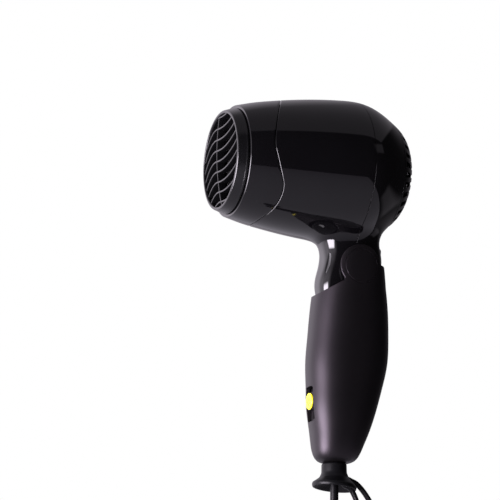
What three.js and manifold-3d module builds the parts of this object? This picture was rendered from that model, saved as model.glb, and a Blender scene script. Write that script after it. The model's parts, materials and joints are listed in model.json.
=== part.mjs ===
// Folding travel hair dryer, millimetres, +Z up, nozzle towards -X, symmetric about Y = 0.
// Shapes are drawn round the fold hinge (0, 0, 0) and moved at the end so the origin is the middle of the grip.
import * as THREE from "three";
import { mergeVertices } from "three/addons/utils/BufferGeometryUtils.js";
import Module from "manifold-3d";

const wasm = await Module();
wasm.setup();

// ---------- driving dimensions ----------
const GRIP = { x: -4.5, z: -60 }; // middle of the grip seen from the hinge
const AXIS_Z = 56.1; // barrel axis above the hinge
const WALL = 2.0; // housing walls
const GAP = 0.3; // shut lines and seats

// barrel outside: [x, radius]
const BARREL = [
  [-70, 30.7], [-60, 33.3], [-50, 35.2], [-40, 36.8], [-30, 38.1], [-20, 39.1], [-10, 39.8], [-2, 40], [4, 39],
  [9, 37.2], [15, 34.1], [20.5, 30.7], [23, 28.8], [26.5, 25.2], [29.4, 20], [31.4, 11], [32, 0],
];
const NOZZLE_FRONT = -70;
const SEAM_X = -0.9; // seam between front and rear housing
const CAP_X = 20.5; // seam between rear housing and intake cap
// parting line of the nozzle section: [degrees above the near horizontal, x]
const PARTING = [
  [-90, -57.2], [-83, -56.7], [-73, -55.5], [-65, -53.8], [-56, -52.1], [-47, -51], [-39, -50.6], [-32, -51], [-26, -52.2],
  [-17, -54.2], [-7, -56], [2, -57.2], [8, -57.2], [24, -55.5], [46, -51.3], [90, -42],
];

const OUTLET = { x: -76.3, rOut: 27.3, rIn: 25.6, collarX: -70.3, collarR: 29.2, plugR: 28.2, backX: -64 };
const GRILLE = { pitch: 5.7, thick: 1.3, deep: 4, rise: 12, ribY: 4.5, recess: 0.5 };
const CAP = { slots: 32, slotWide: 2.4, slotR0: 17, slotR1: 28.4, wall: 1.8 };

// neck sections: [z, front x, rear x, half thickness]
const NECK = [
  [-14, -19.1, 9.4, 10.4], [-8, -19.8, 14.6, 11.6], [0, -17.9, 16.4, 12.3], [5, -16.6, 17.2, 12.3], [10.7, -16.4, 17.2, 12.4],
  [13.6, -17.5, 16.4, 12.6], [16, -20, 16.2, 13.2], [19, -29, 17.2, 15], [23, -38, 20, 19.5],
];

// handle sections: [z, centre x, half depth, half thickness]
const HANDLE = [
  [-106.9, -9.5, 5.6, 5.4], [-105.9, -9.5, 8.9, 8.2], [-103.6, -9.5, 11.3, 10.6], [-98.5, -8.9, 13.3, 12.4], [-90, -7.5, 15.6, 14],
  [-78, -6.1, 18.5, 15.4], [-66, -4.6, 20.3, 16.2], [-52, -2.9, 22.2, 16.8], [-37.4, -1.6, 22.3, 17],
  [-20, -0.8, 21.2, 17], [-4, -0.2, 19.6, 17], [14, 0, 18.2, 17],
];
const HANDLE_WALL = 1.7;
const EAR = { r: 12, inner: 13.4, outer: 17, recessR: 9.8, recessFloor: 14.9 };
const RIM = { frontX: -21.1, frontZ: -14.6, slope: 0.553, meet: 221, rearZ: 1.8 };
const PIN_R = 2.0;

const SWITCH = { top: -66, bottom: -84.4, halfWide: 4.6, front: -24.2, back: -20, knobZ: -73.7, knobHalf: 4.5 };
const BOOT = { x: -10.4, collarR: 6.9, mouthR: 12.1, bottom: -120.6, tilt: 0.105 };
const CORD = { r: 2.25, coilR: 27, bundleR: 8.9, coilZ: -204, layer: 4.6, leave: 113 };
const PLUG = { x: -32.8, y: -14, top: -254, wide: 34, thick: 24, long: 34, pinR: 2.4, pinPitch: 19, pinLong: 19 };

// ---------- materials ----------
const mat = (color, roughness, metalness = 0) => new THREE.MeshStandardMaterial({ color, roughness, metalness });
const M = {
  gloss: mat(0x0c0d0f, 0.08), matte: mat(0x17171a, 0.55), soft: mat(0x0f0f11, 0.42), yellow: mat(0xffee1e, 0.35),
  rubber: mat(0x141416, 0.6), steel: mat(0xb8bcc2, 0.3, 1), mica: mat(0x241f1a, 0.7), wire: mat(0x4a4038, 0.5, 1),
  inner: mat(0x2a2a2c, 0.6), copper: mat(0xb4683a, 0.35, 1),
};

// ---------- solids ----------
// A geometry as a closed solid that faces outwards.
function solid(geometry) {
  const g = geometry.index ? geometry.toNonIndexed() : geometry.clone();
  g.deleteAttribute("normal");
  g.deleteAttribute("uv");
  const m = mergeVertices(g, 1e-3);
  const vertProperties = m.attributes.position.array;
  const triVerts = new Uint32Array(m.index.array);
  const keep = [];
  for (let i = 0; i < triVerts.length; i += 3) {
    const [a, b, c] = triVerts.slice(i, i + 3);
    if (a !== b && b !== c && a !== c) keep.push(a, b, c);
  }
  let vol = 0;
  const P = (i) => new THREE.Vector3().fromArray(vertProperties, i * 3);
  for (let i = 0; i < keep.length; i += 3) vol += P(keep[i]).dot(P(keep[i + 1]).cross(P(keep[i + 2])));
  if (vol < 0) for (let i = 0; i < keep.length; i += 3) [keep[i + 1], keep[i + 2]] = [keep[i + 2], keep[i + 1]];
  return new wasm.Manifold(new wasm.Mesh({ numProp: 3, vertProperties, triVerts: new Uint32Array(keep) }));
}

const all = new THREE.Group();

function piece(name, material, shape) {
  const mesh = shape.getMesh();
  const g = new THREE.BufferGeometry()
    .setAttribute("position", new THREE.BufferAttribute(new Float32Array(mesh.vertProperties), 3))
    .setIndex(new THREE.BufferAttribute(new Uint32Array(mesh.triVerts), 1));
  g.translate(-GRIP.x, 0, -GRIP.z);
  g.computeVertexNormals();
  const part = new THREE.Mesh(g, material);
  part.name = name;
  all.add(part);
}

const box = (x0, x1, y0, y1, z0, z1) =>
  solid(new THREE.BoxGeometry(x1 - x0, y1 - y0, z1 - z0).translate((x0 + x1) / 2, (y0 + y1) / 2, (z0 + z1) / 2));

// A cylinder of radius r from a to b along one axis, through the other two coordinates.
function rod(axis, r, a, b, p, q, segs = 20) {
  const g = new THREE.CylinderGeometry(r, r, b - a, segs);
  if (axis === "x") g.rotateZ(-Math.PI / 2).translate((a + b) / 2, p, q);
  if (axis === "y") g.translate(p, (a + b) / 2, q);
  if (axis === "z") g.rotateX(Math.PI / 2).translate(p, q, (a + b) / 2);
  return solid(g);
}

// A closed [along, radius] profile turned round an axis.
function turned(axis, profile, p, q, segs = 32) {
  const pts = profile.map(([h, r]) => new THREE.Vector2(r, h));
  if (profile[0][1] > 0 || profile.at(-1)[1] > 0) pts.push(pts[0].clone());
  const g = new THREE.LatheGeometry(pts, segs);
  if (axis === "x") g.rotateZ(-Math.PI / 2).translate(0, p, q);
  if (axis === "y") g.translate(p, 0, q);
  if (axis === "z") g.rotateX(Math.PI / 2).translate(p, q, 0);
  return solid(g);
}

// A skin over closed loops of equal length; the ends are capped, or the stack closes on itself.
function skin(loops, ring = false) {
  const n = loops[0].length, pos = [], tri = (a, b, c) => pos.push(...a, ...b, ...c);
  const last = ring ? loops.length : loops.length - 1;
  for (let i = 0; i < last; i++) {
    const A = loops[i], B = loops[(i + 1) % loops.length];
    for (let j = 0; j < n; j++) {
      const k = (j + 1) % n;
      tri(A[j], B[j], B[k]);
      tri(A[j], B[k], A[k]);
    }
  }
  if (!ring)
    for (const [L, flip] of [[loops[0], true], [loops.at(-1), false]]) {
      const c = [0, 1, 2].map((d) => L.reduce((s, v) => s + v[d], 0) / n);
      for (let j = 0; j < n; j++) flip ? tri(c, L[j], L[(j + 1) % n]) : tri(c, L[(j + 1) % n], L[j]);
    }
  return solid(new THREE.BufferGeometry().setAttribute("position", new THREE.Float32BufferAttribute(pos, 3)));
}

const power = (c, n) => Math.sign(c) * Math.abs(c) ** (2 / n);
const oval = (z, cx, a, b, n = 2.4, segs = 24) =>
  Array.from({ length: segs }, (_, i) => {
    const t = (i / segs) * 2 * Math.PI;
    return [cx + a * power(Math.cos(t), n), b * power(Math.sin(t), n), z];
  });

// A round bar along points.
function tube(points, radius, steps, sides = 8, closed = false) {
  const curve = new THREE.CatmullRomCurve3(points.map((p) => new THREE.Vector3(...p)), closed);
  const frames = curve.computeFrenetFrames(steps, closed);
  const loops = [];
  for (let i = 0; i <= (closed ? steps - 1 : steps); i++) {
    const c = curve.getPointAt(i / steps), loop = [];
    const r = typeof radius === "function" ? radius(i / steps) : radius;
    for (let j = 0; j < sides; j++) {
      const t = (j / sides) * 2 * Math.PI;
      const v = c.clone().addScaledVector(frames.normals[i], r * Math.cos(t)).addScaledVector(frames.binormals[i], r * Math.sin(t));
      loop.push(v.toArray());
    }
    loops.push(loop);
  }
  return skin(loops, closed);
}

// A polygon in the X-Z plane made thick along Y.
function sideProfile(points, half) {
  const shape = new THREE.Shape(points.map(([x, z]) => new THREE.Vector2(x, z)));
  return solid(new THREE.ExtrudeGeometry(shape, { depth: 2 * half, bevelEnabled: false }).rotateX(Math.PI / 2).translate(0, half, 0));
}

const lerp = (table, u) => {
  let i = 1;
  while (i < table.length - 1 && table[i][0] < u) i++;
  const [u0, v0] = table[i - 1], [u1, v1] = table[i];
  return v0 + ((v1 - v0) * (u - u0)) / (u1 - u0);
};
const radiusAt = (x) => lerp(BARREL, x);
const partingAt = (phi) => {
  let d = (phi * 180) / Math.PI;
  if (d > 90) d = 180 - d;
  if (d < -90) d = -180 - d;
  return lerp(PARTING, d);
};

// A barrel shell between two edges given as x of the angle.
function barrelShell(x0, x1, steps, wall = WALL, segs = 36) {
  const loops = [], at = (s, inner) =>
    Array.from({ length: segs }, (_, j) => {
      const phi = -Math.PI / 2 + (j / segs) * 2 * Math.PI;
      const a = x0(phi), b = x1(phi), x = a + (b - a) * s;
      const r = radiusAt(x) - (inner ? wall : 0);
      return [x, -r * Math.cos(phi), AXIS_Z + r * Math.sin(phi)];
    });
  for (let i = 0; i <= steps; i++) loops.push(at(i / steps, false));
  for (const i of [1, 0.5, 0]) loops.push(at(i, true));
  return skin(loops, true);
}

// ---------- barrel ----------
function outletGrille() {
  const o = OUTLET;
  const ring = turned("x", [[o.x, o.rIn], [o.x, o.rOut], [o.collarX - 0.2, o.collarR], [o.collarX, o.plugR], [o.backX, o.plugR], [o.backX, o.rIn]], 0, AXIS_Z, 36);
  const front = o.x + GRILLE.recess, back = front + GRILLE.deep;
  let bars = rod("x", o.rIn + 0.6, front, back, 0, AXIS_Z, 36);
  let strips = null;
  const ys = Array.from({ length: 8 }, (_, i) => 27 - (i * 54) / 7);
  for (let k = -6; k <= 6; k++) {
    const loops = ys.map((y) => {
      const t = (GRILLE.ribY - y) / 27;
      const z = AXIS_Z + k * GRILLE.pitch + GRILLE.rise * Math.sign(t) * Math.abs(t) ** 1.35;
      const h = GRILLE.thick / 2;
      return [[front, y, z - h], [back, y, z - h], [back, y, z + h], [front, y, z + h]];
    });
    const strip = skin(loops);
    strips = strips ? strips.add(strip) : strip;
  }
  const rib = skin([-27, -18, -9, 0, 9, 18, 27].map((z) => {
    const y = GRILLE.ribY + 1.6 * (z / 27) ** 2;
    return [[front, y - 0.8, AXIS_Z + z], [back, y - 0.8, AXIS_Z + z], [back, y + 0.8, AXIS_Z + z], [front, y + 0.8, AXIS_Z + z]];
  }));
  bars = bars.intersect(strips.add(rib));
  piece("outlet_grille", M.matte, ring.add(bars));
}

function nozzleShell() {
  piece("nozzle_shell", M.gloss, barrelShell(() => NOZZLE_FRONT, (p) => partingAt(p) - GAP / 2, 3));
}

const neckSolid = () => skin(NECK.map(([z, f, r, b]) => oval(z, (f + r) / 2, (r - f) / 2, b)));

function housings() {
  const core = BARREL.filter(([x]) => x > -55 && x < 30).map(([x, r]) => [x, r - 1]);
  const neck = neckSolid().subtract(turned("x", [[core[0][0], 0], ...core, [core.at(-1)[0], 0]], 0, AXIS_Z, 36));
  const hollow = skin([[-20, -19.1, 9.4, 10.4], ...NECK.filter(([z]) => [-8, 5, 16].includes(z)), [24, -22, 17, 15]].map(([z, f, r, b]) => oval(z, (f + r) / 2, (r - f) / 2 - 1.9, b - 1.9, 2.4, 20)));
  const pin = rod("y", PIN_R + 0.4, -20, 20, 0, 0);
  const cutNose = (s) => s.subtract(hollow).subtract(pin);

  let front = barrelShell((p) => partingAt(p) + GAP / 2, () => SEAM_X - GAP / 2, 6);
  front = front.add(neck.intersect(box(-60, SEAM_X - GAP / 2, -40, 40, -20, 40)));
  piece("main_housing", M.gloss, cutNose(front));

  let rear = barrelShell(() => SEAM_X + GAP / 2, () => CAP_X - GAP / 2, 4);
  rear = rear.add(neck.intersect(box(SEAM_X + GAP / 2, CAP_X - GAP / 2, -40, 40, -20, 40)));
  rear = cutNose(rear).subtract(rod("x", 1.7, 5, 24, 0, 12, 12)).subtract(rod("x", 3.0, 16.4, 24, 0, 12, 16));
  piece("rear_housing", M.gloss, rear);
  piece("neck_screw", M.steel, rod("x", 2.6, 16.7, 17.8, 0, 12, 16).add(rod("x", 1.3, 2, 17, 0, 12, 12)));
}

function intakeCap() {
  const outside = BARREL.filter(([x]) => x > CAP_X).map(([x, r]) => [x, r]);
  const start = [CAP_X + GAP / 2, radiusAt(CAP_X + GAP / 2)];
  const outer = [start, ...outside];
  const w = CAP.wall, inner = [[32 - w, 0], [29.2, 11], [26.2, 20.5], [23.4, 25.4], [start[0], start[1] - w]];
  let cap = turned("x", [...outer, ...inner], 0, AXIS_Z, 36);
  for (let i = 0; i < CAP.slots; i++) {
    const a = ((i + 0.5) / CAP.slots) * 2 * Math.PI;
    const g = new THREE.BoxGeometry(20, CAP.slotWide, CAP.slotR1 - CAP.slotR0).translate(28, 0, (CAP.slotR0 + CAP.slotR1) / 2);
    g.rotateX(a).translate(0, 0, AXIS_Z);
    cap = cap.subtract(solid(g));
  }
  piece("intake_cap", M.gloss, cap);

  let screen = rod("x", 28.2, 17.6, 18.4, 0, AXIS_Z, 32);
  const hole = (R, n, r) => {
    for (let i = 0; i < n; i++) {
      const a = (i / n) * 2 * Math.PI;
      screen = screen.subtract(rod("x", r, 17, 19, R * Math.sin(a), AXIS_Z + R * Math.cos(a), 6));
    }
  };
  hole(20.5, 10, 4.9);
  hole(9.5, 5, 4);
  piece("intake_screen", M.matte, screen);
}

function heater() {
  const x0 = -62, x1 = -28, w = 20.5, t = 0.3, mid = (x0 + x1) / 2;
  piece("mica_board_flat", M.mica, box(x0, x1, -w, w, AXIS_Z - t, AXIS_Z + t).subtract(box(mid - 1, x1 + 1, -0.65, 0.65, AXIS_Z - 2, AXIS_Z + 2)));
  piece("mica_board_upright", M.mica, box(x0, x1, -t, t, AXIS_Z - w, AXIS_Z + w).subtract(box(x0 - 1, mid + 1, -2, 2, AXIS_Z - 0.65, AXIS_Z + 0.65)));
  piece("mica_sleeve", M.mica, turned("x", [[-63, 24.2], [-63, 24.8], [-26, 24.8], [-26, 24.2]], 0, AXIS_Z, 32));
  const turns = 5, steps = turns * 12, pts = [];
  for (let i = 0; i <= steps; i++) {
    const a = (i / 12) * 2 * Math.PI;
    pts.push([-58 + (24 * i) / steps, 22.5 * Math.cos(a), AXIS_Z + 22.5 * Math.sin(a)]);
  }
  piece("heater_coil", M.wire, tube(pts, 0.7, steps, 4));
  piece("thermostat", M.inner, box(-33, -27, 5, 13, AXIS_Z + 0.7, AXIS_Z + 4.7));
  piece("thermal_fuse", M.steel, rod("x", 1.5, -36, -27, -9, AXIS_Z + 2.2, 12));
}

function blower() {
  let duct = turned("x", [[-20, 32.4], [-20, 33.8], [9, 33.8], [9, 32.4]], 0, AXIS_Z, 28);
  duct = duct.add(turned("x", [[-18, 13.3], [-18, 15], [0, 15], [0, 13.3]], 0, AXIS_Z, 24));
  for (let i = 0; i < 6; i++) {
    const g = new THREE.BoxGeometry(12, 1.4, 19.6).translate(-11, 0, 24).rotateX((i / 6) * 2 * Math.PI).translate(0, 0, AXIS_Z);
    duct = duct.add(solid(g));
  }
  piece("fan_duct", M.matte, duct);
  piece("motor_can", M.steel, turned("x", [[-17, 11.6], [-17, 12.9], [1.6, 12.9], [1.6, 1.5], [0.4, 1.5], [0.4, 11.6]], 0, AXIS_Z, 24));
  piece("motor_end_cap", M.inner, turned("x", [[-20, 1.5], [-20, 9], [-19, 12.6], [-17.3, 12.6], [-17.3, 1.5]], 0, AXIS_Z, 24));
  piece("motor_armature", M.copper, turned("x", [[-15.5, 1.4], [-15.5, 10.6], [-1.2, 10.6], [-1.2, 1.4]], 0, AXIS_Z, 20));
  piece("motor_shaft", M.steel, rod("x", 1.0, -21, 12.4, 0, AXIS_Z, 12));
  let fan = turned("x", [[3, 1.4], [3, 8], [9, 8], [13.6, 4.5], [14.6, 0], [13, 0], [13, 1.4]], 0, AXIS_Z, 24);
  for (let i = 0; i < 9; i++) {
    const g = new THREE.BoxGeometry(10, 1.2, 24).rotateZ(0.6).translate(7.5, 0, 19).rotateX((i / 9) * 2 * Math.PI).translate(0, 0, AXIS_Z);
    fan = fan.add(solid(g));
  }
  piece("fan", M.inner, fan.intersect(turned("x", [[2.8, 0], [2.8, 31], [11, 31], [15, 0]], 0, AXIS_Z, 36)));
}

// ---------- hinge ----------
function hinge() {
  piece("hinge_drum", M.matte, rod("y", 7.4, -8.2, 8.2, 0, 0, 24).subtract(rod("y", PIN_R + 0.4, -12, 12, 0, 0)));
  piece("hinge_pin", M.steel, rod("y", PIN_R, -15.6, 15.6, 0, 0));
  for (const [side, s] of [["near", -1], ["far", 1]]) {
    const cap = turned("y", [[15.95 * s, 0], [15.95 * s, 9.4], [16.9 * s, 9.4], [17.25 * s, 8.9], [17.25 * s, 0]], 0, 0, 32);
    piece(`hinge_cap_${side}`, M.soft, cap);
    piece(`spring_washer_${side}`, M.steel, turned("y", [[15.1 * s, 2.4], [15.1 * s, 6], [15.7 * s, 5.4], [15.7 * s, 2.4]], 0, 0, 20));
  }
}

// ---------- handle ----------
function handleShell() {
  const grown = () => skin(HANDLE.map(([z, c, a, b]) => oval(z, c, a, b)));
  // seen from the side: the hood's slanted rim in front and a round ear over the hinge
  const e = EAR.r, outline = [[-60, -130], [-60, RIM.frontZ + RIM.slope * (-60 - RIM.frontX)]];
  for (let a = RIM.meet; a >= 0; a -= 13) outline.push([e * Math.cos((a * Math.PI) / 180), e * Math.sin((a * Math.PI) / 180)]);
  outline.push([12, RIM.rearZ], [60, RIM.rearZ], [60, -130]);
  let shell = grown().intersect(sideProfile(outline, 30));
  shell = shell.add(rod("y", e, -EAR.outer, EAR.outer, 0, 0, 32));

  const w = HANDLE_WALL, inside = [[-104.9, -9.5, 7.6, 7.2], ...HANDLE.filter(([z]) => [-98.5, -78, -52, -37.4, -20, -4, 14].includes(z)).map(([z, c, a, b]) => [z, c, a - w, Math.min(b - w, z > -30 ? EAR.inner : 14.6)])];
  shell = shell.subtract(skin(inside.map(([z, c, a, b]) => oval(z, c, a, b, z > -30 ? 3 : 2.5, 24))));
  shell = shell.subtract(rod("y", 12.6, -EAR.inner, EAR.inner, 0, 0, 24));
  shell = shell.subtract(rod("y", PIN_R + 0.4, -20, 20, 0, 0));
  for (const s of [-1, 1]) shell = shell.subtract(rod("y", EAR.recessR, s > 0 ? EAR.recessFloor : -20, s > 0 ? 20 : -EAR.recessFloor, 0, 0, 32));
  shell = shell.subtract(box(-40, -14.5, -SWITCH.halfWide - GAP, SWITCH.halfWide + GAP, SWITCH.bottom - GAP, SWITCH.top + GAP));
  shell = shell.subtract(rod("z", 5.0, -110, -98, BOOT.x, 0, 20));
  piece("handle_shell", M.soft, shell);
}

function powerSwitch() {
  const s = SWITCH, k = s.knobZ;
  const bezel = box(s.front, s.back, -s.halfWide, s.halfWide, s.bottom, s.top)
    .subtract(box(s.front - 1, s.back - 1.6, -3.6, 3.6, s.bottom + 0.8, s.top - 0.8))
    .subtract(box(s.front - 1, s.back + 1, -1.3, 1.3, -81.2, -69.4));
  piece("switch_bezel", M.matte, bezel);
  const f = s.front;
  piece("switch_slider", M.matte, box(f + 0.3, f + 2.3, -3.3, 3.3, k - s.knobHalf, k + s.knobHalf).add(box(f + 2.2, f + 5.9, -0.95, 0.95, k - 1.5, k + 1.5)));
  const face = solid(new THREE.CylinderGeometry(1, 1, 0.9, 28).scale(4.2, 1, 4.5).rotateZ(Math.PI / 2).translate(f - 0.45, 0, k));
  const ridge = solid(new THREE.BoxGeometry(0.6, 0.9, 6.6).rotateX(0.7).translate(f - 0.9, 0, k));
  piece("switch_cap", M.yellow, face.add(ridge));
  piece("switch_carriage", M.inner, box(f + 6.3, f + 8.8, -1.6, 1.6, k - 1.9, k + 1.9));
  piece("switch_body", M.inner, box(f + 6.6, f + 16, -7, 7, -84, -66).subtract(box(f + 5, f + 9.3, -2.1, 2.1, -81.6, -69)));
  piece("suppression_capacitor", M.copper, box(-9, 3, -4, 4, -58, -48));
}

function cordEntry() {
  const x = BOOT.x;
  piece("terminal_block", M.inner, box(x - 5, x + 5, -6, 6, -95, -89));
  piece("cord_clamp", M.matte, box(x - 7, x + 7, -3.2, 3.2, -101.6, -98.4).subtract(rod("z", CORD.r + 0.3, -103, -97, x, 0, 16)));
  const profile = [
    [-102.2, 2.6], [-102.2, 6.2], [-104.6, 6.2], [-104.6, 4.6], [-107.2, 4.6], [-107.2, BOOT.collarR], [-112.4, BOOT.collarR + 0.1],
    [-114.6, 8.2], [-116.4, 10.2], [-117.8, 11.7], [-119.2, BOOT.mouthR], [-120.2, 11.7], [BOOT.bottom, 10.4], [BOOT.bottom, 2.6],
  ];
  const straight = turned("z", profile, x, 0, 24);
  // the mouth is cut on a slant, lower at the back
  const boot = straight.warp((v) => {
    v[2] -= BOOT.tilt * (v[0] - x) * Math.min(1, Math.max(0, (-113 - v[2]) / 5));
  });
  const path = [
    [-4.5, -114.8], [-1.1, -115.4], [1.8, -116.6], [3.8, -118.1], [5.9, -120.2], [9.8, -125.4], [13.6, -131.8], [16.2, -139], [16, -146],
    [12.2, -150.2], [7, -149], [4.4, -143.5], [4.3, -136], [3.9, -131], [2.3, -125.8], [0.3, -121.6], [-2, -119.2], [-5, -117.4],
  ].map(([a, b]) => [a, 0, b]);
  const loop = tube(path, 1.45, 32, 6, true).subtract(rod("z", 2.6, -125, -100, x, 0, 12));
  piece("strain_relief_boot", M.rubber, boot.add(loop));
}

// ---------- mains lead ----------
function mainsLead() {
  const x = BOOT.x, { r, coilR, bundleR, coilZ, layer } = CORD;
  const rad = (d) => (d * Math.PI) / 180;
  // down from the boot, then round to join the outside of the coil
  const join = coilR + layer, t = rad(CORD.leave), turn = t - Math.PI / 2 + rad(44);
  const bend = (join * -Math.cos(t)) / (1 - Math.cos(rad(CORD.leave - 46)));
  const high = coilZ + Math.sin(t) * join + bend * Math.sin(rad(CORD.leave - 46));
  const lead = [[x, 0, -97], [x, 0, -112], [x, 0, high + 34], [x, layer * 0.3, high + 20], [x, layer * 0.8, high + 8], [x, layer, high]];
  const clear = (q) => Math.hypot(Math.hypot(q[0] - x, q[2] - coilZ) - coilR, q[1]) > bundleR + r + 0.4;
  for (let a = 0.1; a < turn; a += 0.1) {
    const q = [x - bend * (1 - Math.cos(a)), layer, high - bend * Math.sin(a)];
    if (clear(q)) lead.push(q);
  }
  piece("cord", M.rubber, tube(lead, r, 30, 10));
  const prof = Array.from({ length: 12 }, (_, i) => {
    const a = (i / 12) * 2 * Math.PI;
    return [bundleR * Math.sin(a), coilR + bundleR * Math.cos(a)];
  });
  piece("cord_coil", M.rubber, turned("y", prof, x, coilZ, 30));
  const band = bundleR + 0.7, tie = [[-3.5, band], [3.5, band], [3.5, band + 1.2], [-3.5, band + 1.2]];
  piece("cord_tie", M.matte, turned("x", tie, 0, 0, 24).translate([0, 0, coilR]).rotate([0, 50, 0]).translate([x, 0, coilZ]));
  // the tail leaves the coil's near face and hangs to the plug
  const y = PLUG.y, tail = [[PLUG.x, -bundleR - 3.2, coilZ - 8], [PLUG.x, y + 0.6, coilZ - 22], [PLUG.x, y, coilZ - 36], [PLUG.x, y, PLUG.top - 1]];
  piece("cord_tail", M.rubber, tube(tail, r, 14, 10));
  const p = PLUG;
  piece("plug_boot", M.rubber, turned("z", [[p.top, r + GAP], [p.top, 4.2], [p.top - 16, 6], [p.top - 16, r + GAP]], p.x, y, 20));
  const bodyTop = p.top - 16 - GAP, bodyBottom = bodyTop - p.long;
  const sec = (z, k) => oval(z, p.x, (p.wide / 2) * k, (p.thick / 2) * k, 3, 24).map(([a, b, c]) => [a, b + y, c]);
  piece("plug_body", M.rubber, skin([sec(bodyTop, 0.55), sec(bodyTop - 6, 0.8), sec(bodyTop - 16, 1), sec(bodyBottom + 1, 1), sec(bodyBottom, 0.95)]));
  for (const [side, s] of [["near", -1], ["far", 1]])
    piece(`plug_pin_${side}`, M.steel, rod("z", p.pinR, bodyBottom - GAP - p.pinLong, bodyBottom - GAP, p.x + (s * p.pinPitch) / 2, y, 14));
}

outletGrille();
nozzleShell();
housings();
intakeCap();
heater();
blower();
hinge();
handleShell();
powerSwitch();
cordEntry();
mainsLead();

export default all;
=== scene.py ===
import json
import math

import bpy
import numpy as np
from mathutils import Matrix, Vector


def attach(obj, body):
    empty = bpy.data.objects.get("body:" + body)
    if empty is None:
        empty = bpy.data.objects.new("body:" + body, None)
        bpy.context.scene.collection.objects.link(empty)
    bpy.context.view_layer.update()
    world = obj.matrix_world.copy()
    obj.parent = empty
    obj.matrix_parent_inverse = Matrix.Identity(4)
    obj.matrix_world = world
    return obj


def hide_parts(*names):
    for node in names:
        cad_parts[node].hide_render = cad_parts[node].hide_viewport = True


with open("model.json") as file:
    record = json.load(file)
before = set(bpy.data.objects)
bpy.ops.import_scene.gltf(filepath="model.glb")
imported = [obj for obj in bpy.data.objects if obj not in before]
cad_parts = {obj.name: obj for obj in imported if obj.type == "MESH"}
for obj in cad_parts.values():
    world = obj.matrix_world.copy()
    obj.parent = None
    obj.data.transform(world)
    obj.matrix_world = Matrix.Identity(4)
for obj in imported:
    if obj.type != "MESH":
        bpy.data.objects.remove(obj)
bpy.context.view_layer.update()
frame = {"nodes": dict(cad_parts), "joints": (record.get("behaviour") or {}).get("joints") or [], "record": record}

# Shapes are drawn in millimetres round the fold hinge, as the CAD is, then moved to the frame.
MM = 0.001
JOINTS = {joint["name"]: joint for joint in frame["joints"]}
HINGE = np.round(np.array(JOINTS["fold"]["pos_m"]) / MM, 3)


def metres(points):
    return (np.asarray(points, float) + HINGE) * MM


# ---------- camera ----------

AZIMUTH, ELEVATION, DISTANCE = -21.1, -13.8, 1.32
LENS_MM, SENSOR_MM = 172.8, 36.0
HINGE_RIGHT, HINGE_DOWN = 0.05489, 0.0121  # how far the hinge lies off the line of sight


def make_camera():
    az, el = math.radians(AZIMUTH), math.radians(ELEVATION)
    back = Vector((math.sin(az) * math.cos(el), -math.cos(az) * math.cos(el), math.sin(el)))
    turn = (-back).to_track_quat("-Z", "Y")
    right, up = turn @ Vector((1, 0, 0)), turn @ Vector((0, 1, 0))
    data = bpy.data.cameras.new("camera")
    data.sensor_width = SENSOR_MM
    data.lens = LENS_MM
    data.clip_end = 50
    camera = bpy.data.objects.new("camera", data)
    bpy.context.collection.objects.link(camera)
    camera.rotation_mode = "QUATERNION"
    camera.rotation_quaternion = turn
    camera.location = Vector(HINGE * MM) - right * HINGE_RIGHT + up * HINGE_DOWN + back * DISTANCE
    bpy.context.scene.camera = camera


make_camera()

# ---------- materials ----------

BUMP_DISTANCE = 0.0002
TONE_LOW, TONE_HIGH = 0.3, 0.7  # the part of the noise over which the tone changes


def material(name, colour, rough, metallic=0.0, vary=0.15, grain=2000.0, bump=0.02, rough_vary=0.04,
             specular=0.5, tint=(1, 1, 1), blotch=60.0):
    """Moulded or metal finish: broad tone changes, fine grain in the bump and an uneven roughness."""
    mat = bpy.data.materials.new(name)
    mat.use_nodes = True
    tree = mat.node_tree
    shader = tree.nodes["Principled BSDF"]
    shader.inputs["Metallic"].default_value = metallic
    shader.inputs["Specular IOR Level"].default_value = specular
    shader.inputs["Specular Tint"].default_value = (*tint, 1)
    place = tree.nodes.new("ShaderNodeTexCoord")

    def noise(scale, detail):
        node = tree.nodes.new("ShaderNodeTexNoise")
        node.inputs["Scale"].default_value = scale
        node.inputs["Detail"].default_value = detail
        tree.links.new(place.outputs["Object"], node.inputs["Vector"])
        return node.outputs["Fac"]

    broad, fine = noise(blotch, 4.0), noise(grain, 2.0)
    ramp = tree.nodes.new("ShaderNodeValToRGB")
    tones = [tuple(c * k for c in colour) + (1.0,) for k in (1 - vary, 1 + vary)]
    for element, position, tone in zip(ramp.color_ramp.elements, (TONE_LOW, TONE_HIGH), tones):
        element.position, element.color = position, tone
    tree.links.new(broad, ramp.inputs["Fac"])
    tree.links.new(ramp.outputs["Color"], shader.inputs["Base Color"])
    spread = tree.nodes.new("ShaderNodeMapRange")
    spread.inputs["To Min"].default_value = rough - rough_vary
    spread.inputs["To Max"].default_value = rough + rough_vary
    tree.links.new(fine, spread.inputs["Value"])
    tree.links.new(spread.outputs["Result"], shader.inputs["Roughness"])
    dent = tree.nodes.new("ShaderNodeBump")
    dent.inputs["Strength"].default_value = bump
    dent.inputs["Distance"].default_value = BUMP_DISTANCE
    tree.links.new(fine, dent.inputs["Height"])
    tree.links.new(dent.outputs["Normal"], shader.inputs["Normal"])
    return mat


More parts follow.
